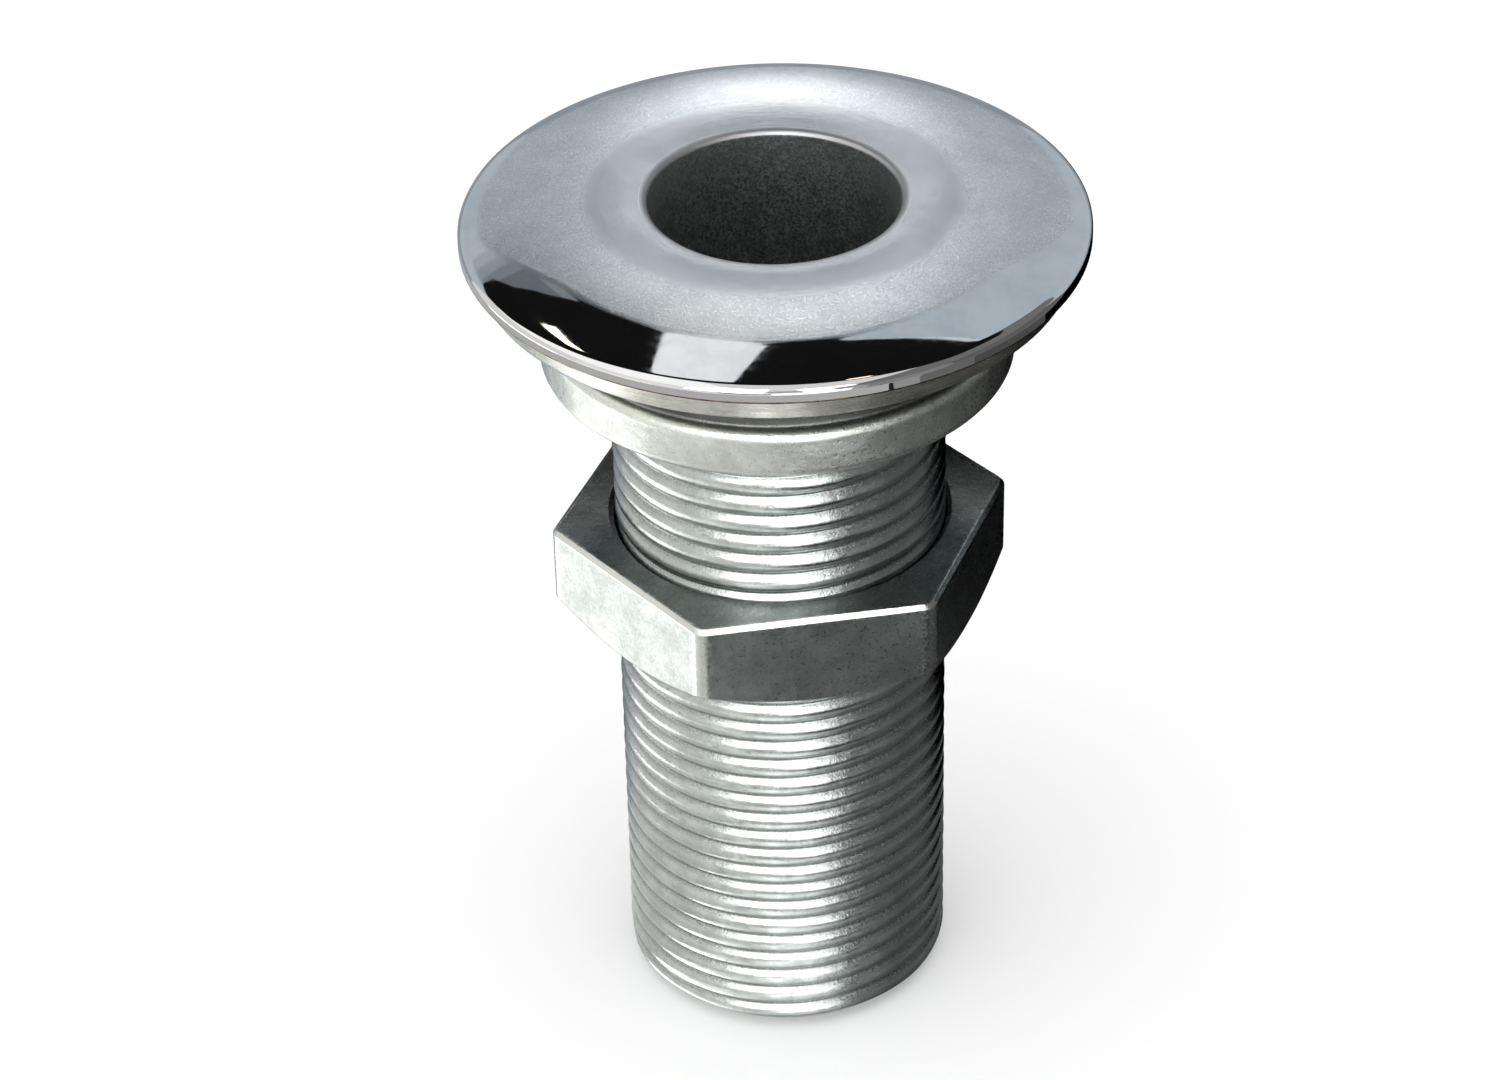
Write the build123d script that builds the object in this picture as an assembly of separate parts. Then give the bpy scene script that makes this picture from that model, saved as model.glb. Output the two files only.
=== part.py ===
"""Thru hull fitting: a flanged, threaded hull outlet and the hexagonal nut that clamps it.

Units are millimetres. The fitting's axis is Z, and +Z points out of the hull. The origin is on
the axis, in the plane of the flange's flat seat, which rests on the outside of the hull.
"""

import math
import os

from build123d import *

# Thread: G 3/4 parallel pipe thread, right hand
PITCH = 25.4 / 14
THREAD_MAJOR_R = 26.441 / 2
THREAD_DEPTH = 0.640327 * PITCH
THREAD_MINOR_R = THREAD_MAJOR_R - THREAD_DEPTH
THREAD_HALF_ANGLE = math.radians(27.5)
CREST_HALF_WIDTH = PITCH / 4 - THREAD_DEPTH * math.tan(THREAD_HALF_ANGLE) / 2
THREAD_BITE = 0.1  # how far the ridge is sunk into the barrel's core

# Water way
BORE_R = 9.7
MOUTH_ROUND = 0.5
TAIL_BORE_CHAMFER = 0.5

# Flange, from its seat upwards: skirt, turned step, rim, dome
SEAT_EDGE_R = 22.9
SEAT_EDGE_ROUND = 0.4
SKIRT_TOP_R = 23.75
SKIRT_HEIGHT = 2.0
STEP_R = 23.4
STEP_HEIGHT = 0.2
FLANGE_R = 24.3
RIM_FACE_HEIGHT = 0.8
RIM_SHOULDER_R = 23.6
RIM_SHOULDER_HEIGHT = 0.6
DOME_R = 42.0  # radius of the dome's arc in section
CROWN_R = 11.5  # distance from the axis at which the dome is highest
MOUTH_DROP = 0.05  # how far the mouth's edge lies under the crown

# Neck and collar: the neck holds sealant, the collar centres the fitting in the hull's hole
NECK_R = 17.5
NECK_LENGTH = 4.3
NECK_FILLET = 0.25
COLLAR_R = 18.5
COLLAR_BOTTOM_Z = -8.4
COLLAR_TOP_ROUND = 0.7
COLLAR_BOTTOM_ROUND = 0.8

# Threaded barrel
BARREL_LENGTH = 66.8  # from the seat to the tail
TAIL_CHAMFER = 1.3
THREAD_RELIEF = 0.6  # plain neck between the collar and the first full thread

# Nut
NUT_ACROSS_FLATS = 32.0
NUT_HEIGHT = 7.7
NUT_TOP_Z = -23.2
NUT_RUNNING_GAP = 0.06
NUT_BORE_CHAMFER = 0.4
NUT_CORNER_ROUND = 1.2
NUT_TOP_BEVEL = 0.35
NUT_CHAMFER_ANGLE = 30
NUT_TURN = 9.5  # degrees about Z that the hexagon is turned where the nut is stored


def head_profile():
    """Half section of the flange, neck, collar and barrel core, without the thread."""
    tail_z = -BARREL_LENGTH
    step_z = SKIRT_HEIGHT + STEP_HEIGHT
    rim_top_z = step_z + RIM_FACE_HEIGHT
    shoulder_z = rim_top_z + RIM_SHOULDER_HEIGHT
    dome_width = RIM_SHOULDER_R - CROWN_R
    crown_z = shoulder_z + DOME_R - math.sqrt(DOME_R**2 - dome_width**2)
    dome_slope = math.asin(dome_width / DOME_R)
    mouth_z = crown_z - MOUTH_DROP
    mouth_end_r = BORE_R + MOUTH_ROUND

    bore_wall = Line((BORE_R, tail_z), (BORE_R, mouth_z - MOUTH_ROUND))
    mouth = RadiusArc(bore_wall @ 1, (mouth_end_r, mouth_z), MOUTH_ROUND)
    lip = Spline(mouth @ 1, (CROWN_R, crown_z), tangents=[(1, 0), (1, 0)])
    dome = RadiusArc(lip @ 1, (RIM_SHOULDER_R, shoulder_z), DOME_R)
    shoulder = Spline(
        dome @ 1,
        (FLANGE_R, rim_top_z),
        tangents=[(math.cos(dome_slope), -math.sin(dome_slope)), (0, -1)],
    )
    outside = Polyline(
        (FLANGE_R, rim_top_z),
        (FLANGE_R, step_z),
        (STEP_R, step_z),
        (STEP_R, SKIRT_HEIGHT),
        (SKIRT_TOP_R, SKIRT_HEIGHT),
        (SEAT_EDGE_R, 0),
        (NECK_R, 0),
        (NECK_R, -NECK_LENGTH),
        (COLLAR_R, -NECK_LENGTH),
        (COLLAR_R, COLLAR_BOTTOM_Z),
        (THREAD_MINOR_R, COLLAR_BOTTOM_Z),
        (THREAD_MINOR_R, tail_z),
        (BORE_R, tail_z),
    )
    return make_face(Plane.XZ * (bore_wall + mouth + lip + dome + shoulder + outside))


def thread_ridge(bottom_z, top_z):
    """One continuous helical ridge, right hand, rooted inside the barrel's core."""
    root_r = THREAD_MINOR_R - THREAD_BITE
    root_half_width = CREST_HALF_WIDTH + (THREAD_MAJOR_R - root_r) * math.tan(THREAD_HALF_ANGLE)
    section = Polyline(
        (root_r, -root_half_width),
        (THREAD_MAJOR_R, -CREST_HALF_WIDTH),
        (THREAD_MAJOR_R, CREST_HALF_WIDTH),
        (root_r, root_half_width),
        close=True,
    )
    helix = Helix(PITCH, top_z - bottom_z, THREAD_MINOR_R)
    ridge = sweep(make_face(Plane.XZ * section), path=helix, is_frenet=True)
    return Pos(0, 0, bottom_z) * ridge


def thread_envelope():
    """The space the thread may fill: chamfered at the tail, run out below the collar."""
    top_z = COLLAR_BOTTOM_Z - THREAD_RELIEF
    tail_z = -BARREL_LENGTH
    inner_r = THREAD_MINOR_R - 2 * THREAD_BITE
    outline = Polyline(
        (inner_r, tail_z),
        (THREAD_MAJOR_R - TAIL_CHAMFER, tail_z),
        (THREAD_MAJOR_R + THREAD_BITE, tail_z + TAIL_CHAMFER + THREAD_BITE),
        (THREAD_MAJOR_R + THREAD_BITE, top_z - THREAD_DEPTH),
        (THREAD_MINOR_R, top_z),
        (inner_r, top_z),
        close=True,
    )
    return revolve(make_face(Plane.XZ * outline), Axis.Z)


def edges_at(solid, radius, z):
    """The circular edges about Z that have this radius and height."""
    circles = solid.edges().filter_by(GeomType.CIRCLE)
    return [e for e in circles if abs(e.radius - radius) < 1e-3 and abs(e.center().Z - z) < 1e-3]


def make_body():
    """Flange, neck, collar and threaded barrel: one casting."""
    head = revolve(head_profile(), Axis.Z)
    head = fillet(edges_at(head, NECK_R, 0) + edges_at(head, NECK_R, -NECK_LENGTH), NECK_FILLET)
    head = fillet(edges_at(head, COLLAR_R, -NECK_LENGTH), COLLAR_TOP_ROUND)
    head = fillet(edges_at(head, COLLAR_R, COLLAR_BOTTOM_Z), COLLAR_BOTTOM_ROUND)
    head = fillet(edges_at(head, SEAT_EDGE_R, 0), SEAT_EDGE_ROUND)
    head = chamfer(edges_at(head, BORE_R, -BARREL_LENGTH), TAIL_BORE_CHAMFER)
    ridge = thread_ridge(-BARREL_LENGTH - PITCH, COLLAR_BOTTOM_Z)
    return head + (ridge & thread_envelope())


def make_nut():
    """Hexagonal nut with a bevelled clamping face and a 30 degree chamfer below."""
    corner_r = NUT_ACROSS_FLATS / math.sqrt(3)
    flat_r = NUT_ACROSS_FLATS / 2
    bore_r = THREAD_MAJOR_R + NUT_RUNNING_GAP
    cone_height = (corner_r - flat_r) * math.tan(math.radians(NUT_CHAMFER_ANGLE))

    hexagon = RegularPolygon(corner_r, 6)
    hexagon = fillet(hexagon.vertices(), NUT_CORNER_ROUND)
    nut = extrude(hexagon, NUT_HEIGHT)
    nut = chamfer(nut.faces().sort_by(Axis.Z)[-1].edges(), NUT_TOP_BEVEL)
    envelope = Polyline(
        (0, 0),
        (flat_r, 0),
        (corner_r, cone_height),
        (corner_r, NUT_HEIGHT),
        (0, NUT_HEIGHT),
        close=True,
    )
    nut = nut & revolve(make_face(Plane.XZ * envelope), Axis.Z)
    nut = nut - Pos(0, 0, NUT_HEIGHT / 2) * Cylinder(bore_r, NUT_HEIGHT)
    nut = chamfer(edges_at(nut, bore_r, 0) + edges_at(nut, bore_r, NUT_HEIGHT), NUT_BORE_CHAMFER)
    return Pos(0, 0, NUT_TOP_Z - NUT_HEIGHT) * Rot(0, 0, NUT_TURN) * nut


def main():
    parts = {"body": make_body(), "nut": make_nut()}
    os.makedirs("parts", exist_ok=True)
    for name, solid in parts.items():
        solid.label = name
        export_step(solid, f"parts/{name}.step")


main()
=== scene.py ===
"""Looks of the thru hull fitting: a chrome-plated brass hull outlet with its hexagonal nut.

Shapes are worked out in millimetres in the row frame (axis on Z, origin in the flange's seat)
and written as metres. The fitting stands on its tail on a pale floor.
"""

import math

import bpy
import numpy as np
from mathutils import Matrix, Vector


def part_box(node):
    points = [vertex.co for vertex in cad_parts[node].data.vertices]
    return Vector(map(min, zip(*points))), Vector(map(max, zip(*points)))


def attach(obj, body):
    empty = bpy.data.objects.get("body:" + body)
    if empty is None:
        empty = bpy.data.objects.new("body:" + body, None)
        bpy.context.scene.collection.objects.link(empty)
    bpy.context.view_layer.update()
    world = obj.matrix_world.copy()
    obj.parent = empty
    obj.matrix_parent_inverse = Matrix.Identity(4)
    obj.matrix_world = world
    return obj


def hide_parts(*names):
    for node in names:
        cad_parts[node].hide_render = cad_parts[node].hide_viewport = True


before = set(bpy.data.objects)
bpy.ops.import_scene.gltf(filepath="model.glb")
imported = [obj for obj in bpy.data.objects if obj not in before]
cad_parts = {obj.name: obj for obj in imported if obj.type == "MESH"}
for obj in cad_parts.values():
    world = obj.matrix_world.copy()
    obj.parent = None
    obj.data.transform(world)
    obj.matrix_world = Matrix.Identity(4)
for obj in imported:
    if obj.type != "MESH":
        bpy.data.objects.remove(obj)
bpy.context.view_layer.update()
MM = 0.001

body_lo, body_hi = (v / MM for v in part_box("body"))
nut_lo, nut_hi = (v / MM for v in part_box("nut"))

# ---------------------------------------------------------------- sizes, in mm, as in the CAD
FLANGE_R = min(body_hi.x, body_hi.y)
CROWN_Z = body_hi.z
TAIL_Z = body_lo.z
BORE_R = 9.7
MOUTH_ROUND = 0.5
MOUTH_DROP = 0.05
CROWN_R = 11.5
DOME_R = 42.0
SHOULDER_R, SHOULDER_Z = 23.6, 3.6
RIM_TOP_Z, STEP_Z, SKIRT_Z = 3.0, 2.2, 2.0
STEP_R, SKIRT_R, SEAT_R = 23.4, 23.75, 22.9
NECK_R, COLLAR_R = 17.5, 18.5
COLLAR_TOP_Z, COLLAR_BOTTOM_Z = -4.3, -8.4
RELIEF_FILLET = 0.2
COLLAR_BOTTOM_ROUND, COLLAR_TOP_ROUND = 0.8, 0.7
NECK_FILLET = 0.25
SEAT_EDGE_ROUND, SKIRT_EDGE_ROUND = 0.4, 0.09
STEP_FILLET = 0.03
RIM_EDGE_ROUND = 0.12
TAIL_EDGE_ROUND = 0.1
PITCH = 25.4 / 14
MAJOR_R = 26.441 / 2
THREAD_DEPTH = 0.640327 * PITCH
MINOR_R = MAJOR_R - THREAD_DEPTH
THREAD_RELIEF = 0.6  # plain neck between the collar and the thread
THREAD_TOP_Z = COLLAR_BOTTOM_Z - THREAD_RELIEF
TAIL_CHAMFER = 1.3
TAIL_BORE_CHAMFER = 0.5
THREAD_LEAN = 48  # steepest slope of the plated thread's form, in degrees
ROOT_WIDTH = 0.26  # width of the rounded root, along the axis
CREST_WEAR = 0.035  # how deep the crests are worn, at most
NUT_FLAT_R = 16.0
NUT_CORNER_ROUND = 1.2
NUT_BORE_R = MAJOR_R + 0.06
NUT_TOP_BEVEL, NUT_BORE_BEVEL = 0.35, 0.4
NUT_CHAMFER_ANGLE = 30
NUT_TURN = 9.5  # degrees about Z that the hexagon is turned
NUT_DIP = 0.035  # how hollow the nut's cast faces are, at most

CAST_GREEN = 0.045  # how much less red and blue than green the plated casting returns
COLUMNS = 160  # points around the axis
DOME, STEP, SKIRT, COLLAR, BORE, THREAD = range(6)  # the casting's surfaces, by material


# ---------------------------------------------------------------- section curves
def rounded(points, radii, step=0.6, support=0.05, bend=15):
    """A section polyline with its corners rounded, and its straight runs divided.

    Straight runs have a point every `step`, and one at `support` from each end. Arcs have one
    about every `bend` degrees.
    """
    pts = [np.array(p, float) for p in points]
    out = [pts[0]]

    def run(a, b):
        length = np.linalg.norm(b - a)
        if length < 1e-6:
            return
        direction = (b - a) / length
        if length > 4 * support:
            out.append(a + direction * support)
            inner = length - 2 * support
            for i in range(1, round(inner / step)):
                out.append(a + direction * (support + inner * i / round(inner / step)))
            out.append(b - direction * support)
        out.append(b)

    here = pts[0]
    for i in range(1, len(pts) - 1):
        corner, before, after = pts[i], pts[i - 1], pts[i + 1]
        u = (before - corner) / np.linalg.norm(before - corner)
        v = (after - corner) / np.linalg.norm(after - corner)
        half = math.acos(np.clip(np.dot(u, v), -1, 1)) / 2
        radius = radii[i]
        if radius <= 0:
            run(here, corner)
            here = corner
            continue
        reach = radius / math.tan(half)
        start, end = corner + u * reach, corner + v * reach
        centre = corner + (u + v) / np.linalg.norm(u + v) * (radius / math.sin(half))
        run(here, start)
        sweep = math.pi - 2 * half
        count = max(2, round(math.degrees(sweep) / bend))
        a0 = math.atan2(*(start - centre)[::-1])
        turn = (start - centre)[0] * (end - centre)[1] - (start - centre)[1] * (end - centre)[0]
        for k in range(1, count + 1):
            a = a0 + math.copysign(sweep * k / count, turn)
            out.append(centre + radius * np.array([math.cos(a), math.sin(a)]))
        here = end
    run(here, pts[-1])
    return out


def hermite(p0, p1, t0, t1, count):
    """A smooth curve from p0 to p1 with these end tangents, without its first point."""
    p0, p1, t0, t1 = (np.array(v, float) for v in (p0, p1, t0, t1))
    out = []
    for i in range(1, count + 1):
        s = i / count
        h = (2 * s**3 - 3 * s**2 + 1, s**3 - 2 * s**2 + s, -2 * s**3 + 3 * s**2, s**3 - s**2)
        out.append(h[0] * p0 + h[1] * t0 + h[2] * p1 + h[3] * t1)
    return out


def head_section():
    """The section from the top of the thread, over the flange and down the bore to the tail."""
    outside = rounded(
        [
            (MINOR_R, THREAD_TOP_Z),
            (MINOR_R, COLLAR_BOTTOM_Z),
            (COLLAR_R, COLLAR_BOTTOM_Z),
            (COLLAR_R, COLLAR_TOP_Z),
            (NECK_R, COLLAR_TOP_Z),
            (NECK_R, 0),
            (SEAT_R, 0),
            (SKIRT_R, SKIRT_Z),
            (STEP_R, SKIRT_Z),
            (STEP_R, STEP_Z),
            (FLANGE_R, STEP_Z),
            (FLANGE_R, RIM_TOP_Z),
        ],
        [
            0,
            RELIEF_FILLET,
            COLLAR_BOTTOM_ROUND,
            COLLAR_TOP_ROUND,
            NECK_FILLET,
            NECK_FILLET,
            SEAT_EDGE_ROUND,
            SKIRT_EDGE_ROUND,
            STEP_FILLET,
            STEP_FILLET,
            RIM_EDGE_ROUND,
            0,
        ],
        step=0.7,
    )
    dome_slope = math.asin((SHOULDER_R - CROWN_R) / DOME_R)
    reach = math.hypot(FLANGE_R - SHOULDER_R, RIM_TOP_Z - SHOULDER_Z)
    down = (math.cos(dome_slope) * reach, -math.sin(dome_slope) * reach)
    shoulder = hermite(
        (FLANGE_R, RIM_TOP_Z), (SHOULDER_R, SHOULDER_Z), (0, reach), (-down[0], -down[1]), 12
    )
    dome = []
    dome_steps = 36
    for i in range(1, dome_steps + 1):
        a = dome_slope * (1 - i / dome_steps)
        dome.append(
            np.array([CROWN_R + DOME_R * math.sin(a), CROWN_Z - DOME_R * (1 - math.cos(a))])
        )
    mouth_r = BORE_R + MOUTH_ROUND
    lip = hermite(
        (CROWN_R, CROWN_Z), (mouth_r, CROWN_Z - MOUTH_DROP), (-0.6, 0), (-0.6, 0), 4
    )
    mouth = []
    mouth_steps = 9
    for i in range(1, mouth_steps + 1):
        a = math.pi / 2 + math.pi / 2 * i / mouth_steps
        mouth.append(
            np.array([mouth_r, CROWN_Z - MOUTH_DROP - MOUTH_ROUND])
            + MOUTH_ROUND * np.array([math.cos(a), math.sin(a)])
        )
    inside = rounded(
        [
            mouth[-1],
            (BORE_R, TAIL_Z + TAIL_BORE_CHAMFER),
            (BORE_R + TAIL_BORE_CHAMFER, TAIL_Z),
            (MAJOR_R - TAIL_CHAMFER, TAIL_Z),
        ],
        [0, TAIL_EDGE_ROUND, TAIL_EDGE_ROUND, 0],
        step=2.0,
    )
    return outside + shoulder + dome + lip + mouth + inside[1:]


def thread_section():
    """One pitch of the thread as plated: broad rounded crests and narrow filled roots.

    Pairs of (axial offset, depth under the crest).
    """
    lean = math.radians(THREAD_LEAN)
    crest_r = (PITCH - ROOT_WIDTH) / 2 / math.sin(lean)
    root_r = ROOT_WIDTH / 2 / math.sin(lean)
    bottom = (crest_r + root_r) * (1 - math.cos(lean))
    out = []
    for k in range(-4, 5):
        out.append((crest_r * math.sin(lean * k / 4), crest_r * (1 - math.cos(lean * k / 4))))
    for k in range(-1, 2):
        a = lean * k / 2
        out.append((PITCH / 2 + root_r * math.sin(a), bottom - root_r * (1 - math.cos(a))))
    return out


def waviness(x, y, z, seed, size):
    """Smooth irregularity, nearly all between -1 and 1, with features about this many mm across."""
    rng = np.random.default_rng(seed)
    total = 0.0
    waves = 9
    for _ in range(waves):
        way = rng.normal(size=3)
        way /= np.linalg.norm(way)
        rate = 2 * math.pi / (size * rng.uniform(0.6, 1.7))
        total = total + np.sin((way[0] * x + way[1] * y + way[2] * z) * rate + rng.uniform(0, 6.28))
    return total / waves * 1.6


# ---------------------------------------------------------------- meshes
def make_mesh(name, verts, faces, slots, materials):
    """A closed, smooth mesh from points in mm, with points that coincide made one."""
    key = np.round(verts, 5)
    _, first, index = np.unique(key, axis=0, return_index=True, return_inverse=True)
    index = index.reshape(-1)
    points, cells, cell_slots = verts[first], [], []
    for face, slot in zip(index[faces], slots):
        ring = [int(v) for n, v in enumerate(face) if v != face[n - 1]]
        if len(ring) > 2 and len(set(ring)) == len(ring):
            cells.append(ring)
            cell_slots.append(slot)
    mesh = bpy.data.meshes.new(name)
    mesh.from_pydata((points * MM).tolist(), [], cells)
    for material in materials:
        mesh.materials.append(material)
    mesh.polygons.foreach_set("material_index", cell_slots)
    mesh.polygons.foreach_set("use_smooth", [True] * len(cells))
    mesh.update()
    piece = bpy.data.objects.new(name, mesh)
    bpy.context.scene.collection.objects.link(piece)
    return piece


def surface_kinds(section):
    """Which surface each stretch of the head's section belongs to."""
    mid = (section[:-1] + section[1:]) / 2
    mid_r, mid_z = mid[:, 0], mid[:, 1]
    step_from, step_to, plated_to = SKIRT_Z - 0.4, STEP_Z + 0.25, BORE_R + 0.04
    kind = np.full(len(mid), SKIRT)
    kind[mid_z < 0] = COLLAR
    kind[(mid_z > step_from) & (mid_z < step_to) & (mid_r > COLLAR_R)] = STEP
    kind[(mid_z >= step_to) & (mid_r > plated_to)] = DOME
    bore_start = next(i for i, p in enumerate(mid) if p[0] < plated_to and p[1] > 0)
    kind[bore_start:] = BORE
    kind[(np.arange(len(mid)) > bore_start) & (mid_z < TAIL_Z + 0.05)] = THREAD
    return kind


def thread_grid():
    """Points of the threaded barrel: rows that climb one pitch in a turn, and a closing column."""
    profile = thread_section()
    per_turn = len(profile)
    start = TAIL_Z - 3 * PITCH
    turns = math.ceil((THREAD_TOP_Z - start) / PITCH) + 1
    k = np.arange(turns * per_turn + 1)
    offset = np.array([profile[i % per_turn][0] for i in k]) + (k // per_turn) * PITCH
    depth = np.array([profile[i % per_turn][1] for i in k])
    lift = PITCH * np.arange(COLUMNS + 1) / COLUMNS
    tz = np.clip(start + offset[:, None] + lift[None, :], TAIL_Z, THREAD_TOP_Z)
    theta = np.arange(COLUMNS + 1) * 2 * math.pi / COLUMNS
    cos, sin = np.cos(theta), np.sin(theta)
    cos[-1], sin[-1] = cos[0], sin[0]
    # the wear comes in patches that are shorter along the axis than around it
    worn = 0.5 + 0.5 * waviness(13 * cos[None, :], 13 * sin[None, :], tz * 2.5, 4, 5.0)
    crest = 1 - depth[:, None] / depth.max()
    tr = MAJOR_R - depth[:, None] - CREST_WEAR * np.clip(worn, 0, 1) * crest
    tr = np.minimum(tr, MAJOR_R - TAIL_CHAMFER + (tz - TAIL_Z))
    tr = np.minimum(tr, MINOR_R + (THREAD_TOP_Z - tz))
    tr[tz >= THREAD_TOP_Z - 1e-9] = MINOR_R
    strip = np.stack([tr * cos, tr * sin, tz], axis=-1)
    # the last column is the first one, a turn further up
    strip[:-per_turn, -1] = strip[per_turn:, 0]
    strip[-per_turn:, -1, 2] = THREAD_TOP_Z
    return strip


def make_casting(materials):
    """Flange, neck, collar, water way and threaded barrel, as one closed mesh."""
    section = np.array(head_section())
    column = np.arange(COLUMNS)
    angle = column * 2 * math.pi / COLUMNS
    r, z = section[:, 0][:, None], section[:, 1][:, None]
    head = np.stack(
        [r * np.cos(angle), r * np.sin(angle), np.broadcast_to(z, (len(z), COLUMNS))], axis=-1
    ).reshape(-1, 3)
    rows = np.arange(len(section) - 1)[:, None] * COLUMNS
    a, b = rows + column, rows + (column + 1) % COLUMNS
    head_faces = np.stack([a, b, b + COLUMNS, a + COLUMNS], axis=-1).reshape(-1, 4)
    head_slots = np.repeat(surface_kinds(section), COLUMNS)

    strip = thread_grid()
    wide = COLUMNS + 1
    a = len(head) + np.arange(len(strip) - 1)[:, None] * wide + column
    strip_faces = np.stack([a, a + 1, a + 1 + wide, a + wide], axis=-1).reshape(-1, 4)
    verts = np.concatenate([head, strip.reshape(-1, 3)])
    faces = np.concatenate([head_faces, strip_faces])
    slots = np.concatenate([head_slots, np.full(len(strip_faces), THREAD)])
    return make_mesh("fitting_body", verts, faces, slots, materials)


def hexagon():
    """Outline of the rounded hexagon as (angles, radii), closer together at the corners."""
    inner_flat = NUT_FLAT_R - NUT_CORNER_ROUND
    centre = inner_flat / math.cos(math.pi / 6)
    half = inner_flat * math.tan(math.pi / 6)
    along = np.concatenate(
        [[-half + 0.08], np.linspace(-half + 0.6, half - 0.6, 26), [half - 0.08]]
    )
    angles, radii = [], []
    for side in range(6):
        corner = math.radians(NUT_TURN + 60 * side)
        for t in np.linspace(-math.pi / 6, math.pi / 6, 9):
            x, y = centre + NUT_CORNER_ROUND * math.cos(t), NUT_CORNER_ROUND * math.sin(t)
            angles.append(corner + math.atan2(y, x))
            radii.append(math.hypot(x, y))
        edge = corner + math.pi / 6
        for s in along:
            angles.append(edge + math.atan2(s, NUT_FLAT_R))
            radii.append(math.hypot(s, NUT_FLAT_R))
    return np.array(angles), np.array(radii)


def make_nut(material):
    """Hexagonal nut: bevelled clamping face above, 30 degree chamfer below."""
    angles, radii = hexagon()
    top, bottom = nut_hi.z, nut_lo.z
    bore_edge, bevel_edge = [0, 0.1, 0.1, 0], [0, 0.12, 0]
    rise = np.array([0, 1.0])
    lines = []
    for r in radii:
        cone = max((r - NUT_FLAT_R) * math.tan(math.radians(NUT_CHAMFER_ANGLE)), 0.02)
        bore_middle = np.array([NUT_BORE_R, (top + bottom) / 2])
        cone_in = np.array([NUT_FLAT_R - 0.02, bottom])
        cone_out = np.array([r, bottom + cone + 0.01])
        bevel_out = np.array([r, top - NUT_TOP_BEVEL])
        bevel_in = np.array([r - NUT_TOP_BEVEL, top])
        bevel_middle = (bevel_out + bevel_in) / 2
        bore_top = np.array([NUT_BORE_R + NUT_BORE_BEVEL, top])

        # down from the bore's middle, out along the underside, up the side and back over the top
        underside = rounded(
            [
                bore_middle,
                (NUT_BORE_R, bottom + NUT_BORE_BEVEL),
                (NUT_BORE_R + NUT_BORE_BEVEL, bottom),
                cone_in,
            ],
            bore_edge,
            step=1.5,
            bend=23,
        )
        chamfer = [cone_in + (cone_out - cone_in) * t for t in (0.33, 0.66)]
        side = [cone_out + rise * d for d in (0, 0.06)]
        side += [
            cone_out + rise * 0.06 + (bevel_out - cone_out - rise * 0.26) * t
            for t in np.linspace(0.08, 1, 13)
        ]
        inward_of_bevel = bevel_in - np.array([0.5, 0])
        edge_low, edge_high = (
            rounded(corner, bevel_edge, step=9, support=0.03, bend=12)
            for corner in (
                [side[-1], bevel_out, bevel_middle],
                [bevel_middle, bevel_in, inward_of_bevel],
            )
        )
        face = [edge_high[-1] + (bore_top - edge_high[-1]) * t for t in np.linspace(0.12, 0.9, 8)]
        upper_bore = rounded(
            [face[-1], bore_top, (NUT_BORE_R, top - NUT_BORE_BEVEL), bore_middle],
            bore_edge,
            step=9,
            support=0.02,
            bend=23,
        )
        lines.append(
            underside + chamfer + side + edge_low[1:] + edge_high[1:] + face + upper_bore[1:-1]
        )
    grid = np.array(lines)
    r, z = grid[:, :, 0], grid[:, :, 1]
    x, y = r * np.cos(angles)[:, None], r * np.sin(angles)[:, None]
    # the cast faces are a little hollow here and there, and never stand proud
    dip = NUT_DIP * np.clip(0.5 + 0.5 * waviness(x, y, z, 11, 7.0), 0, 1)
    dip *= np.clip((r - NUT_BORE_R - 0.9) / 0.8, 0, 1)
    inward = np.where(z > top - 0.02, 0.0, 1.0)
    r = r - dip * inward
    z = np.where(inward > 0, z, z - dip * 0.8)
    verts = np.stack([r * np.cos(angles)[:, None], r * np.sin(angles)[:, None], z], axis=-1)
    n, m = r.shape
    i = np.arange(n)[:, None] * m + np.arange(m)
    j = ((np.arange(n) + 1) % n)[:, None] * m + np.arange(m)
    faces = np.stack([i, j, np.roll(j, -1, axis=1), np.roll(i, -1, axis=1)], axis=-1)
    return make_mesh("hex_nut", verts.reshape(-1, 3), faces.reshape(-1, 4), [0] * n * m, [material])


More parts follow.
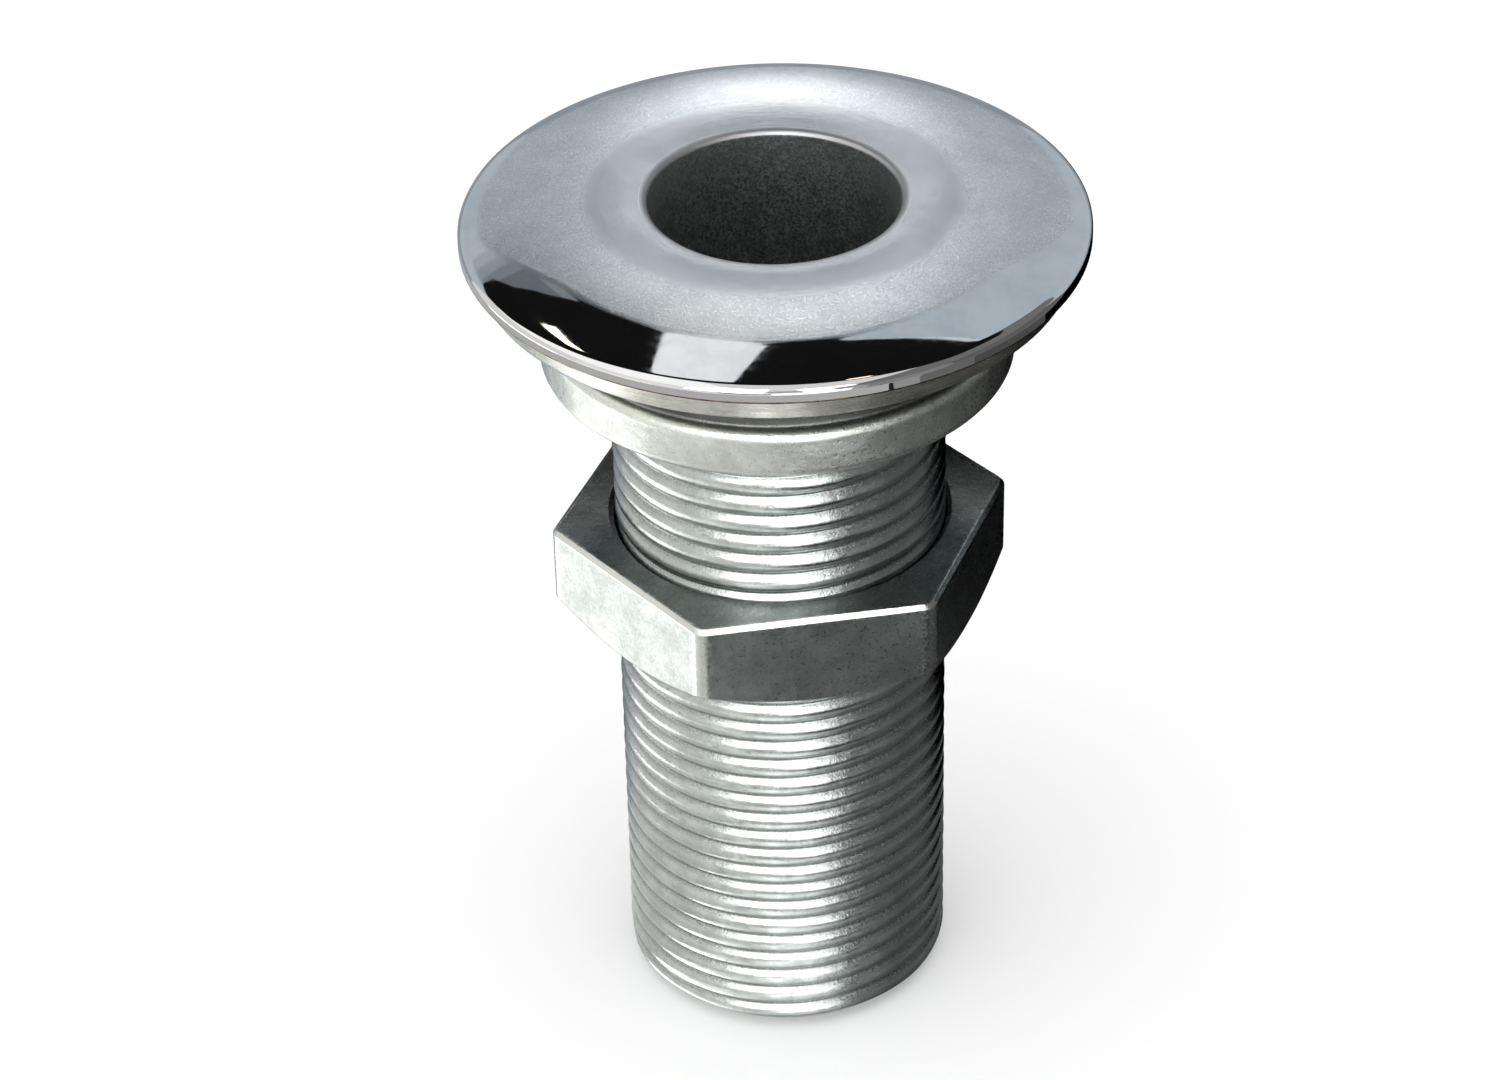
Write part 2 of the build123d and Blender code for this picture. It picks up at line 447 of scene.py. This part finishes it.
# ---------------------------------------------------------------- materials
class Nodes:
    """A material's node tree, with its Principled shader and the place in mm at hand."""

    def __init__(self, name):
        self.material = bpy.data.materials.new(name)
        self.material.use_nodes = True
        self.tree = self.material.node_tree
        self.shader = self.tree.nodes["Principled BSDF"]
        place = self.tree.nodes.new("ShaderNodeTexCoord").outputs["Object"]
        self.mm = self.vector("SCALE", place, scale=1 / MM)
        flat = self.vector("MULTIPLY", self.mm, (1, 1, 0))
        self.radius = self.vector("LENGTH", flat)
        self.round = self.vector("NORMALIZE", flat)

    def vector(self, operation, a, b=None, scale=None):
        node = self.tree.nodes.new("ShaderNodeVectorMath")
        node.operation = operation
        self.tree.links.new(a, node.inputs[0])
        if b is not None:
            self.put(b, node.inputs[1])
        if scale is not None:
            self.put(scale, node.inputs["Scale"])
        return node.outputs["Value" if operation in ("LENGTH", "DOT_PRODUCT") else "Vector"]

    def put(self, value, socket):
        if isinstance(value, bpy.types.NodeSocket):
            self.tree.links.new(value, socket)
        else:
            socket.default_value = value

    def math(self, operation, a, b=0.0):
        node = self.tree.nodes.new("ShaderNodeMath")
        node.operation = operation
        self.put(a, node.inputs[0])
        self.put(b, node.inputs[1])
        return node.outputs[0]

    def noise(self, scale, detail=2.0, rough=0.5, at=None, stretch=None):
        node = self.tree.nodes.new("ShaderNodeTexNoise")
        where = at or self.mm
        if stretch:
            where = self.vector("MULTIPLY", where, stretch)
        self.tree.links.new(where, node.inputs["Vector"])
        node.inputs["Scale"].default_value = scale
        node.inputs["Detail"].default_value = detail
        node.inputs["Roughness"].default_value = rough
        return node.outputs["Fac"]

    def pits(self, scale):
        node = self.tree.nodes.new("ShaderNodeTexVoronoi")
        self.tree.links.new(self.mm, node.inputs["Vector"])
        node.inputs["Scale"].default_value = scale
        return node.outputs["Distance"]

    def turned(self, scale, detail=2.0):
        """Noise drawn out into fine rings about the axis, as a lathe or a buffing wheel leaves."""
        parts = self.tree.nodes.new("ShaderNodeSeparateXYZ")
        self.tree.links.new(self.vector("SCALE", self.round, scale=2.5), parts.inputs[0])
        joined = self.tree.nodes.new("ShaderNodeCombineXYZ")
        self.put(parts.outputs[0], joined.inputs[0])
        self.put(parts.outputs[1], joined.inputs[1])
        along = self.math("ADD", self.radius, self.height())
        self.put(self.math("MULTIPLY", along, scale), joined.inputs[2])
        return self.noise(1.0, detail, at=joined.outputs[0])

    def remap(self, value, low, high, to_low=0.0, to_high=1.0):
        """A smooth step from one level to another, between two values."""
        node = self.tree.nodes.new("ShaderNodeMapRange")
        node.interpolation_type = "SMOOTHSTEP"
        self.put(value, node.inputs["Value"])
        for name, v in zip(("From Min", "From Max", "To Min", "To Max"), (low, high, to_low, to_high)):
            self.put(v, node.inputs[name])
        return node.outputs["Result"]

    def mix(self, share, a, b):
        node = self.tree.nodes.new("ShaderNodeMix")
        node.data_type = "RGBA"
        self.put(share, node.inputs[0])
        self.put(a, node.inputs[6])
        self.put(b, node.inputs[7])
        return node.outputs[2]

    def number_mix(self, share, a, b):
        """Like mix, for plain numbers."""
        node = self.tree.nodes.new("ShaderNodeMix")
        self.put(share, node.inputs[0])
        self.put(a, node.inputs[2])
        self.put(b, node.inputs[3])
        return node.outputs[0]

    def part(self, index):
        """Place along one axis, in mm."""
        parts = self.tree.nodes.new("ShaderNodeSeparateXYZ")
        self.tree.links.new(self.mm, parts.inputs[0])
        return parts.outputs[index]

    def across(self):
        """Place along Y, in mm."""
        return self.part(1)

    def height(self):
        """Place along Z, in mm."""
        return self.part(2)

    def dot(self, way):
        """Distance from the centre along a direction, either way, in mm."""
        return self.math("ABSOLUTE", self.vector("DOT_PRODUCT", self.mm, way))

    def bump(self, value, depth_mm, strength=1.0, after=None):
        node = self.tree.nodes.new("ShaderNodeBump")
        self.put(value, node.inputs["Height"])
        node.inputs["Distance"].default_value = depth_mm * MM
        node.inputs["Strength"].default_value = strength
        if after is not None:
            self.tree.links.new(after, node.inputs["Normal"])
        return node.outputs["Normal"]

    def finish(self, colour, roughness, normal, metallic=1.0, anisotropic=0.0):
        self.put(colour, self.shader.inputs["Base Color"])
        self.put(roughness, self.shader.inputs["Roughness"])
        self.shader.inputs["Metallic"].default_value = metallic
        self.tree.links.new(normal, self.shader.inputs["Normal"])
        if anisotropic:
            self.shader.inputs["Anisotropic"].default_value = anisotropic
            tangent = self.tree.nodes.new("ShaderNodeTangent")
            tangent.direction_type = "RADIAL"
            tangent.axis = "Z"
            self.tree.links.new(tangent.outputs[0], self.shader.inputs["Tangent"])
        return self.material


def grey(level, warm=0.0, green=0.0):
    """A metal's colour: its level, warmer above zero and cooler below, and how green it is."""
    return (level * (1 + warm - green), level, level * (1 - warm - green), 1)


def cast_grey(level, warm=0.0):
    """The colour of plating over a casting, a little greener than on the polished face."""
    return grey(level, warm, CAST_GREEN)


def dome_chrome():
    """The flange's face: satin around the mouth, buffed to a mirror on the lip and the rim."""
    n = Nodes("chrome_flange")
    grain = n.noise(5.5, 4.0, 0.75)
    rings = n.turned(7.0, 3.0)
    cloud = n.noise(0.28, 3.0, 0.6)
    # the buffed band starts further in on one side
    wide_side = n.remap(n.across(), -2.0, -12.0)
    band = n.number_mix(wide_side, 22.3, 19.0)
    lip = n.remap(n.math("SUBTRACT", n.radius, band), 0.0, 0.9)
    inner = n.remap(n.radius, 15.4, 13.6)
    satin = n.remap(grain, 0.3, 0.7, 0.25, 0.34)
    smooth = n.remap(cloud, 0.3, 0.7, 0.18, 0.24)
    rough = n.number_mix(inner, satin, smooth)
    mouth_r = BORE_R + MOUTH_ROUND
    mouth = n.remap(n.radius, mouth_r + 0.35, mouth_r - 0.1)
    rough = n.number_mix(mouth, rough, 0.45)
    mirror = n.remap(n.noise(1.5, 4.0, 0.6), 0.35, 0.75, 0.02, 0.05)
    rough = n.number_mix(lip, rough, mirror)
    tint = n.mix(n.remap(cloud, 0.35, 0.65), grey(0.63, -0.03), grey(0.70, -0.015))
    matt = n.math("SUBTRACT", 1.0, lip)
    speckle = n.math("MULTIPLY", n.remap(grain, 0.42, 0.72, 0.0, 0.6), matt)
    tint = n.mix(speckle, tint, grey(0.44, -0.03))
    tint = n.mix(n.math("MULTIPLY", inner, 0.8), tint, grey(0.46, -0.01))
    # painted shade: the mouth's rounded edge is painted dark, so the hole's shade seems to start right
    # at its edge
    tint = n.mix(n.math("MULTIPLY", mouth, 0.8), tint, grey(0.30, -0.01))
    tint = n.mix(n.remap(n.radius, 23.6, 24.1, 0.0, 0.6), tint, grey(0.72, 0.02))
    fine = n.math("SUBTRACT", 1.0, n.math("MULTIPLY", lip, 0.985))
    normal = n.bump(n.math("MULTIPLY", grain, fine), 0.012)
    normal = n.bump(n.math("MULTIPLY", rings, fine), 0.006, after=normal)
    normal = n.bump(n.noise(0.22, 1.0), 0.03, 0.35, after=normal)
    return n.finish(tint, rough, normal, anisotropic=0.5)


def gold_reflection_step():
    """The turned step under the rim, painted gold and dark brown as a painted reflection of warm
    surroundings, with patches of grey plating.
    """
    n = Nodes("painted_gold_reflection")
    blotch = n.noise(0.9, 4.0, 0.65)
    # painted reflection: gold and dark brown stand in for the warm surroundings reflected in the step
    colour = n.mix(n.remap(blotch, 0.35, 0.65), (0.045, 0.025, 0.008, 1), (0.20, 0.125, 0.04, 1))
    plated = n.remap(n.noise(0.16, 3.0, 0.7), 0.52, 0.66)
    colour = n.mix(n.math("MULTIPLY", plated, 0.35), colour, grey(0.40, 0.03))
    rough = n.remap(blotch, 0.3, 0.7, 0.22, 0.42)
    return n.finish(colour, rough, n.bump(n.turned(9.0), 0.006))


def skirt_chrome():
    """Edge of the flange under the rim, and its seat: satin plating over a turned face."""
    n = Nodes("chrome_skirt")
    cloud = n.noise(0.5, 3.0, 0.6)
    colour = n.mix(n.remap(cloud, 0.3, 0.7), cast_grey(0.42, 0.03), cast_grey(0.54, 0.04))
    rough = n.remap(n.turned(6.0, 3.0), 0.3, 0.7, 0.2, 0.34)
    normal = n.bump(n.turned(8.0, 2.0), 0.008)
    return n.finish(colour, rough, n.bump(n.noise(4.0, 4.0, 0.7), 0.008, after=normal))


def cast_chrome():
    """Neck and collar: thin plating over a cast surface that was only roughly turned, with painted
    shade on the neck under the flange and a painted highlight along the collar's top edge.
    """
    n = Nodes("chrome_collar")
    height = n.height()
    above_collar = n.remap(height, COLLAR_TOP_Z - 0.15, COLLAR_TOP_Z + 0.2)
    neck = n.math("MULTIPLY", above_collar, n.remap(n.radius, COLLAR_R - 0.1, NECK_R + 0.25))
    cloud = n.noise(0.35, 4.0, 0.65)
    grain = n.noise(4.2, 5.0, 0.75)
    colour = n.mix(n.remap(cloud, 0.35, 0.7), cast_grey(0.46, 0.0), cast_grey(0.60, 0.01))
    colour = n.mix(n.remap(grain, 0.55, 0.78, 0.0, 0.55), colour, cast_grey(0.26, 0.0))
    # painted highlight: a lighter band is painted all around the collar's rounded top edge
    edge = n.math(
        "MULTIPLY",
        n.remap(height, COLLAR_TOP_Z - 1.0, COLLAR_TOP_Z - 0.4),
        n.remap(height, COLLAR_TOP_Z + 0.05, COLLAR_TOP_Z - 0.2),
    )
    colour = n.mix(n.math("MULTIPLY", edge, 0.6), colour, cast_grey(0.78, 0.03))
    # painted shade: the neck under the flange is painted nearly black
    colour = n.mix(n.math("MULTIPLY", neck, 0.9), colour, cast_grey(0.07, 0.04))
    rough = n.remap(grain, 0.3, 0.75, 0.24, 0.42)
    normal = n.bump(grain, 0.035)
    normal = n.bump(n.noise(0.5, 3.0, 0.6), 0.12, 0.6, after=normal)
    normal = n.bump(n.turned(3.0), 0.012, after=normal)
    return n.finish(colour, rough, normal)


def bore_metal():
    """The water way: unplated, drawn dark by oxide, with a mottled cast wall."""
    n = Nodes("bore_oxide")
    blotch = n.noise(0.8, 3.0, 0.6)
    grain = n.noise(4.5, 4.0, 0.8)
    colour = n.mix(n.remap(grain, 0.35, 0.68), (0.03, 0.04, 0.037, 1), (0.22, 0.25, 0.235, 1))
    colour = n.mix(n.remap(blotch, 0.4, 0.7, 0.0, 0.5), colour, (0.05, 0.062, 0.058, 1))
    rim = n.remap(n.height(), CROWN_Z - 5.0, CROWN_Z - 1.0, 0.0, 0.25)
    colour = n.mix(rim, colour, grey(0.24, -0.03))
    rough = n.remap(grain, 0.3, 0.7, 0.36, 0.55)
    normal = n.bump(blotch, 0.06)
    return n.finish(colour, rough, n.bump(grain, 0.03, after=normal), metallic=0.6)


def thread_chrome():
    """The cut and plated thread: lighter on the crests, darker towards the roots."""
    n = Nodes("chrome_thread")
    crest = n.remap(n.radius, MAJOR_R - 0.38, MAJOR_R - 0.12)
    cloud = n.noise(0.4, 4.0, 0.65)
    grain = n.noise(6.0, 4.0, 0.75)
    root = n.mix(n.remap(grain, 0.35, 0.7), cast_grey(0.30, -0.02), cast_grey(0.45, -0.02))
    top = n.mix(n.remap(cloud, 0.3, 0.7), cast_grey(0.46, -0.02), cast_grey(0.60, -0.015))
    colour = n.mix(crest, root, top)
    dirt = n.remap(n.noise(1.3, 5.0, 0.7, stretch=(1, 1, 2.2)), 0.58, 0.72, 0.0, 0.6)
    colour = n.mix(dirt, colour, cast_grey(0.2, 0.0))
    rough = n.remap(n.math("ADD", grain, n.math("MULTIPLY", crest, -0.25)), 0.1, 0.7, 0.10, 0.34)
    normal = n.bump(grain, 0.02)
    normal = n.bump(n.noise(0.9, 3.0, 0.6), 0.05, 0.8, after=normal)
    normal = n.bump(n.remap(n.pits(1.1), 0.0, 0.12), 0.02, 0.5, after=normal)
    return n.finish(colour, rough, normal)


def nut_chrome():
    """The nut: plated over a sand-cast surface, mottled, worn bright along its edges."""
    n = Nodes("chrome_nut")
    across = 0.0
    for pair in range(3):
        a = math.radians(NUT_TURN + 30 + 60 * pair)
        across = n.math("MAXIMUM", n.dot((math.cos(a), math.sin(a), 0)), across)
    height = n.height()
    ragged = n.remap(n.noise(2.2, 4.0, 0.7), 0.3, 0.7, -0.12, 0.12)
    rubbed = n.math("ADD", across, ragged)
    top_edge = n.math(
        "MULTIPLY",
        n.remap(rubbed, NUT_FLAT_R - 0.55, NUT_FLAT_R - 0.3),
        n.remap(height, nut_hi.z - 0.6, nut_hi.z - 0.3),
    )
    near, at = NUT_FLAT_R * 1.122, NUT_FLAT_R * 1.135
    corner = n.remap(n.math("ADD", n.radius, ragged), near, at, 0.0, 0.45)
    edge = n.math("MAXIMUM", top_edge, corner)
    cloud = n.noise(0.30, 4.0, 0.7)
    grain = n.noise(3.6, 6.0, 0.8)
    colour = n.mix(n.remap(cloud, 0.35, 0.68), cast_grey(0.22, -0.03), cast_grey(0.31, -0.02))
    colour = n.mix(n.remap(grain, 0.50, 0.74, 0.0, 0.7), colour, cast_grey(0.12, -0.03))
    colour = n.mix(edge, colour, cast_grey(0.66, 0.02))
    rough = n.remap(grain, 0.3, 0.75, 0.24, 0.38)
    rough = n.math("SUBTRACT", rough, n.math("MULTIPLY", edge, 0.12))
    normal = n.bump(grain, 0.016)
    normal = n.bump(n.noise(0.45, 3.0, 0.6), 0.05, 0.6, after=normal)
    return n.finish(colour, rough, normal)


# ---------------------------------------------------------------- the two pieces
casting = make_casting(
    [dome_chrome(), gold_reflection_step(), skirt_chrome(), cast_chrome(), bore_metal(), thread_chrome()]
)
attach(casting, "body")
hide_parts("body")

hex_nut = make_nut(nut_chrome())
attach(hex_nut, "nut")
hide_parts("nut")

# ---------------------------------------------------------------- camera
LOOK_AT_Z, DISTANCE = -26.70, 367.36
ELEVATION, YAW, ROLL = 35, 0.3844, -1.05
LENS = 109.96

centre = Vector((0, 0, LOOK_AT_Z)) * MM
elevation, distance = math.radians(ELEVATION), DISTANCE * MM
back = Vector((0, -math.cos(elevation), math.sin(elevation)))
up = Vector((0, math.sin(elevation), math.cos(elevation)))
camera = bpy.data.objects.new("camera", bpy.data.cameras.new("camera"))
bpy.context.scene.collection.objects.link(camera)
camera.data.lens = LENS
camera.data.sensor_width = 36
camera.data.clip_start, camera.data.clip_end = 0.02, 50
turn = Matrix.Rotation(math.radians(YAW), 4, up) @ Matrix.Rotation(math.radians(ROLL), 4, back)
axes = Matrix((Vector((1, 0, 0)), up, back)).transposed().to_4x4()
camera.matrix_world = Matrix.Translation(centre + back * distance) @ turn @ axes
bpy.context.scene.camera = camera


# ---------------------------------------------------------------- studio
def emission(name, colour, strength):
    material = bpy.data.materials.new(name)
    material.use_nodes = True
    tree = material.node_tree
    tree.nodes.clear()
    light = tree.nodes.new("ShaderNodeEmission")
    light.inputs["Color"].default_value = (*colour, 1)
    light.inputs["Strength"].default_value = strength
    out = tree.nodes.new("ShaderNodeOutputMaterial")
    tree.links.new(light.outputs[0], out.inputs["Surface"])
    material.cycles.emission_sampling = "NONE"
    return material


def hidden_panel(name, points, faces, level, colour):
    """A glowing studio surface that only reflections see."""
    mesh = bpy.data.meshes.new(name)
    mesh.from_pydata(points, [], faces)
    mesh.materials.append(emission(name, colour, level))
    panel = bpy.data.objects.new(name, mesh)
    bpy.context.scene.collection.objects.link(panel)
    panel.visible_camera = False
    panel.visible_diffuse = False
    panel.visible_shadow = False
    return panel


def card(name, corners, level, colour=(1, 1, 1), reach=1.0):
    """A flat card, by the directions of its corners and its distance in metres."""
    ways = [Vector(c).normalized() for c in corners]
    facing = sum(ways, Vector((0, 0, 0))).normalized()
    points = [w * (reach / w.dot(facing)) for w in ways]
    return hidden_panel(name, points, [list(range(len(points)))], level, colour)


def patch(name, azimuths, elevations, level, colour=(1, 1, 1), reach=1.0, across=6, upward=4):
    """A curved card between two azimuths (0 in front, 90 on the right) and two elevations."""
    verts, faces = [], []
    for i in range(upward + 1):
        e = math.radians(elevations[0] + (elevations[1] - elevations[0]) * i / upward)
        for j in range(across + 1):
            a = math.radians(azimuths[0] + (azimuths[1] - azimuths[0]) * j / across)
            way = Vector((math.sin(a) * math.cos(e), -math.cos(a) * math.cos(e), math.sin(e)))
            verts.append(way * reach)
    for i in range(upward):
        for j in range(across):
            k = i * (across + 1) + j
            faces.append((k, k + 1, k + across + 2, k + across + 1))
    return hidden_panel(name, verts, faces, level, colour)


def flag(name, outline_mm, level, colour=(1, 1, 1)):
    """A card close to the fitting, by its corners in mm."""
    points = [Vector(corner) * MM for corner in outline_mm]
    return hidden_panel(name, points, [list(range(len(points)))], level, colour)


def on_floor(outline):
    """Points on the level of the floor, in mm."""
    return [(x, y, TAIL_Z) for x, y in outline]


def upright(y, outline):
    """Points on a plane across Y, in mm."""
    return [(x, y, z) for x, z in outline]


COOL, WARM, PLAIN = (0.88, 0.98, 1.08), (1.0, 0.99, 0.96), (1, 1, 1)
TENT = 1.7  # radius of the tent of cards around the fitting, in metres

# the tent: azimuth 0 is in front and 90 on the right, elevation 0 is level
for name, azimuths, elevations, level, colour in (
    ("back_wall_foot", (112, 235), (-6, 8), 0.38, COOL),
    ("back_wall", (112, 235), (8, 60), 0.62, COOL),
    ("left_wall", (235, 290), (-26, 60), 0.9, WARM),
    ("left_front_wall", (290, 340), (-26, 60), 1.0, WARM),
    ("front_wall", (-20, 30), (-26, 60), 0.42, PLAIN),
    ("right_front_wall", (30, 60), (-26, 60), 0.28, PLAIN),
    ("right_wall", (60, 112), (-6, 60), 0.14, PLAIN),
    ("right_band", (60, 165), (-27, -6), 0.16, PLAIN),
    ("back_band", (165, 235), (-27, -6), 0.45, COOL),
    ("table_left", (236, 276), (-72, -26), 4.5, WARM),
    ("table_left_front", (274, 315), (-72, -26), 1.5, WARM),
    ("table_front_left", (315, 350), (-72, -26), 1.1, WARM),
    ("table_front", (-10, 18), (-72, -26), 1.2, PLAIN),
    ("table_front_right", (18, 35), (-72, -26), 0.9, PLAIN),
    ("table_right_front", (35, 52), (-72, -26), 0.36, PLAIN),
    ("table_right", (52, 75), (-72, -26), 0.17, PLAIN),
    ("table_far_right", (75, 165), (-72, -26), 0.09, PLAIN),
    ("table_back", (165, 238), (-72, -26), 0.5, COOL),
    ("table_middle", (0, 360), (-90, -72), 0.55, WARM),
):
    patch(name, azimuths, elevations, level, colour, TENT)
# the wall behind grows darker to the left
for shade in range(4):
    patch(
        f"back_wall_shade_{shade}",
        (186 + 5 * shade, 238),
        (31 + 2 * shade, 60),
        0.50 - 0.10 * shade,
        COOL,
        TENT - 0.03 * (shade + 1),
    )

# overhead, from left to right
for name, left, right, level in (
    ("top_left", -1.2, -0.14, 1.3),
    ("top_middle", -0.14, 0.3, 0.9),
    ("top_right", 0.3, 1.2, 0.2),
):
    corners = ((left, -0.9, 0.75), (right, -0.9, 0.75), (right, 0.62, 0.75), (left, 0.62, 0.75))
    card(name, corners, level, reach=1.3)

# bright columns behind, for the flange's face
card(
    "column_low",
    ((-0.045, 0.98, 0.17), (0.045, 0.98, 0.17), (0.05, 0.93, 0.36), (-0.05, 0.93, 0.36)),
    5.0,
    reach=1.5,
)
card(
    "column_high",
    ((-0.07, 0.74, 0.68), (0.07, 0.74, 0.68), (0.07, 0.6, 0.79), (-0.09, 0.62, 0.77)),
    3.9,
    WARM,
    reach=1.5,
)

# the black card that the lip shows, with the window and two lamps in it
card(
    "black_card",
    (
        (-0.372, 0.716, 0.592), (-0.343, 0.697, 0.63), (-0.277, 0.675, 0.684), (-0.19, 0.652, 0.735),
        (-0.099, 0.614, 0.783), (0.09, 0.555, 0.828), (0.23, 0.531, 0.816), (0.42, 0.46, 0.78),
        (0.55, 0.30, 0.78), (0.50, 0.10, 0.86), (0.20, 0.13, 0.97), (-0.25, 0.17, 0.95),
        (-0.50, 0.20, 0.84), (-0.74, 0.35, 0.58), (-0.70, 0.52, 0.48),
    ),
    0.008,
    reach=1.0,
)
card(
    "window",
    ((-0.140, 0.594, 0.79), (-0.012, 0.545, 0.838), (-0.079, 0.357, 0.931), (-0.235, 0.33, 0.915)),
    1.12,
    reach=0.9,
)
card(
    "lamp_right",
    ((0.15, 0.20, 0.96), (0.205, 0.20, 0.96), (0.205, 0.235, 0.96), (0.15, 0.235, 0.96)),
    6.0,
    (1.0, 0.8, 0.6),
    reach=0.8,
)
card(
    "lamp_left",
    ((-0.345, 0.59, 0.735), (-0.325, 0.58, 0.75), (-0.312, 0.48, 0.82), (-0.332, 0.48, 0.815)),
    6.0,
    (1.0, 0.85, 0.7),
    reach=0.8,
)

# strips in front that run down the thread's crests and along the nut's edge
patch("strip_narrow", (9, 19), (-4, 60), 7.5, PLAIN, 0.85, across=2, upward=8)
patch("strip_wide", (-31, -5), (8, 66), 7.5, PLAIN, 0.85, across=3, upward=6)
patch("strip_edge", (16, 32), (47, 60), 5.0, PLAIN, 0.85, across=3)
patch("soft_front", (-12, 18), (-5, 20), 0.9, PLAIN, 0.9, upward=6)
patch("collar_glow", (-2, 24), (-19, 4), 5.0, PLAIN, 0.95, upward=5)

# cards on the floor in front of the barrel, and flags beside them
flag("foot_wide", on_floor(((-2, -17), (-0.6, -17), (-2, -44), (-14, -44))), 2.2)
flag("foot_narrow", on_floor(((2, -17), (3.2, -17), (9.5, -44), (5, -44))), 2.2)
flag("flag_front", on_floor(((9, -44), (70, -36), (84, -130), (-22, -130))), 0.02)
flag("flag_left", on_floor(((-14, 16), (-46, 20), (-46, -40), (-14, -30))), 0.8, WARM)
for name, left, right, level in (("flag_right_back", 6, 110, 0.0), ("flag_left_back", -28, 6, 0.07)):
    outline = ((left, TAIL_Z), (right, TAIL_Z), (right, 0.5), (left, 0.5))
    flag(name, upright(25.6, outline), level)


def rim_ring():
    """A grey band on the floor, where the rim's edge looks, from the left side to the front."""
    verts, faces = [], []
    steps = 12
    for i in range(steps + 1):
        a = math.radians(-75 + 95 * i / steps)
        for far in (89, 112):
            x = FLANGE_R * math.sin(a) + far * math.sin(2 * a)
            y = -FLANGE_R * math.cos(a) - far * math.cos(2 * a)
            verts.append(Vector((x, y, TAIL_Z + 1)) * MM)
    for i in range(steps):
        faces.append((2 * i, 2 * i + 1, 2 * i + 3, 2 * i + 2))
    return hidden_panel("rim_ring", verts, faces, 0.55, PLAIN)


rim_ring()

# the room: white to the camera, dim in reflections
world = bpy.data.worlds.new("studio")
bpy.context.scene.world = world
world.use_nodes = True
tree = world.node_tree
sky = tree.nodes["Background"]
path = tree.nodes.new("ShaderNodeLightPath")
room = tree.nodes.new("ShaderNodeMix")
room.data_type = "RGBA"
room.inputs[6].default_value = (1.19, 1.19, 1.19, 1)
room.inputs[7].default_value = (0.22, 0.23, 0.235, 1)
tree.links.new(path.outputs["Is Glossy Ray"], room.inputs[0])
tree.links.new(room.outputs[2], sky.inputs["Color"])
sky.inputs["Strength"].default_value = 1.0

FLOOR_HALF = 6  # in metres
floor_mesh = bpy.data.meshes.new("floor")
floor_mesh.from_pydata(
    [(x * FLOOR_HALF, y * FLOOR_HALF, TAIL_Z * MM) for x, y in ((-1, -1), (1, -1), (1, 1), (-1, 1))],
    [],
    [(0, 1, 2, 3)],
)
floor = bpy.data.objects.new("floor", floor_mesh)
bpy.context.scene.collection.objects.link(floor)
paper = bpy.data.materials.new("floor_paper")
paper.use_nodes = True
paper_shader = paper.node_tree.nodes["Principled BSDF"]
paper_shader.inputs["Base Color"].default_value = (0.93, 0.93, 0.93, 1)
paper_shader.inputs["Roughness"].default_value = 0.9
floor_mesh.materials.append(paper)
floor.visible_glossy = False

key = bpy.data.objects.new("soft_key", bpy.data.lights.new("soft_key", "AREA"))
bpy.context.scene.collection.objects.link(key)
key.data.shape = "DISK"
key.data.size = 0.9
key.data.energy = 1.0
key.location = (-0.5, -0.35, 1.0)
key.rotation_euler = (-key.location).to_track_quat("-Z", "Y").to_euler()
key.visible_glossy = False

scene = bpy.context.scene
scene.view_settings.view_transform = "Standard"
